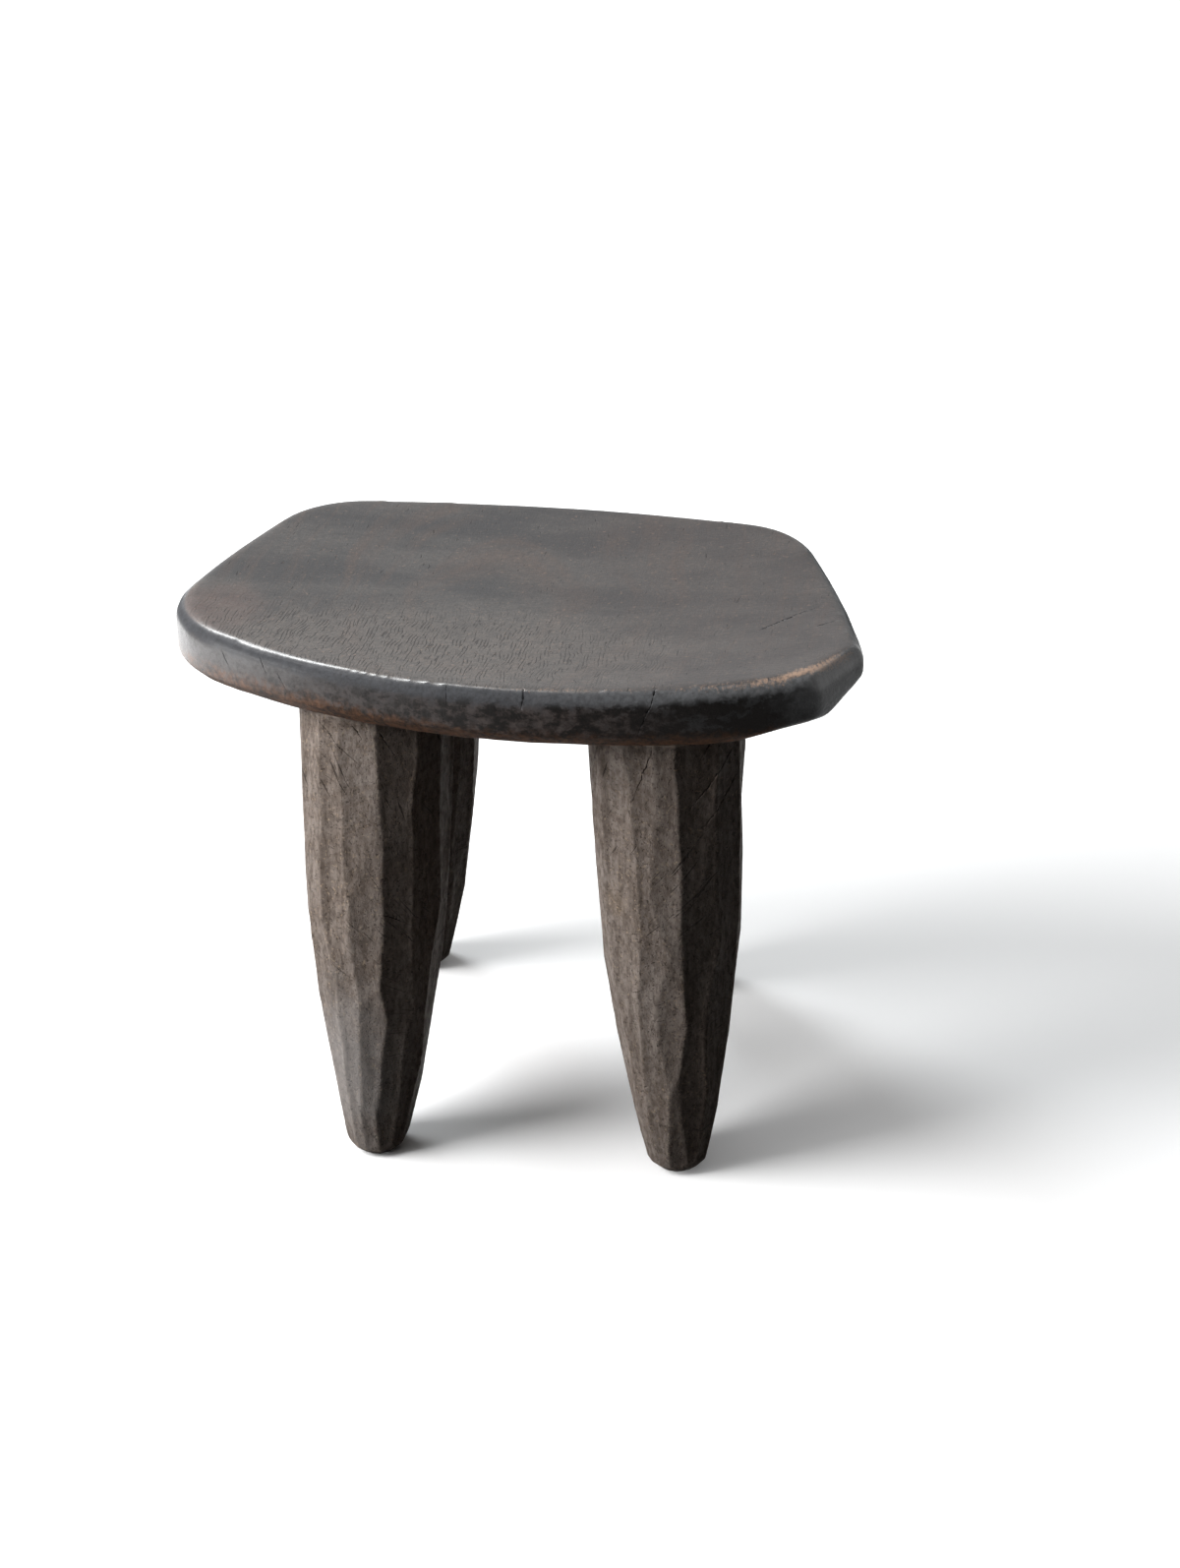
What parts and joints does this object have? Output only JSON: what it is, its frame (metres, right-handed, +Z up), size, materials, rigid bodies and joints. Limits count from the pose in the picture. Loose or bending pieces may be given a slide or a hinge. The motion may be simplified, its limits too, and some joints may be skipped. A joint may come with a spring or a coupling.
{
  "type": "four-legged wooden stool",
  "caption": "Low carved wooden stool with a shallow dished seat of rounded outline on stout adze-faceted legs that taper to blunt feet.",
  "frame": {"origin": "on the floor, under the middle of the seat's outline box", "axes": "+X along the seat's long side, to the right seen from the front; +Y from the front edge to the back edge; +Z up"},
  "size_m": [0.3639, 0.262, 0.2969],
  "materials": {
    "wood": "dark smoke-blackened hardwood, hand-rubbed satin on the seat, matt on the legs"
  },
  "bodies": {
    "root": {"seat": "wood", "leg_front_left": "wood", "leg_front_right": "wood", "leg_rear_left": "wood", "leg_rear_right": "wood"}
  },
  "joints": []
}
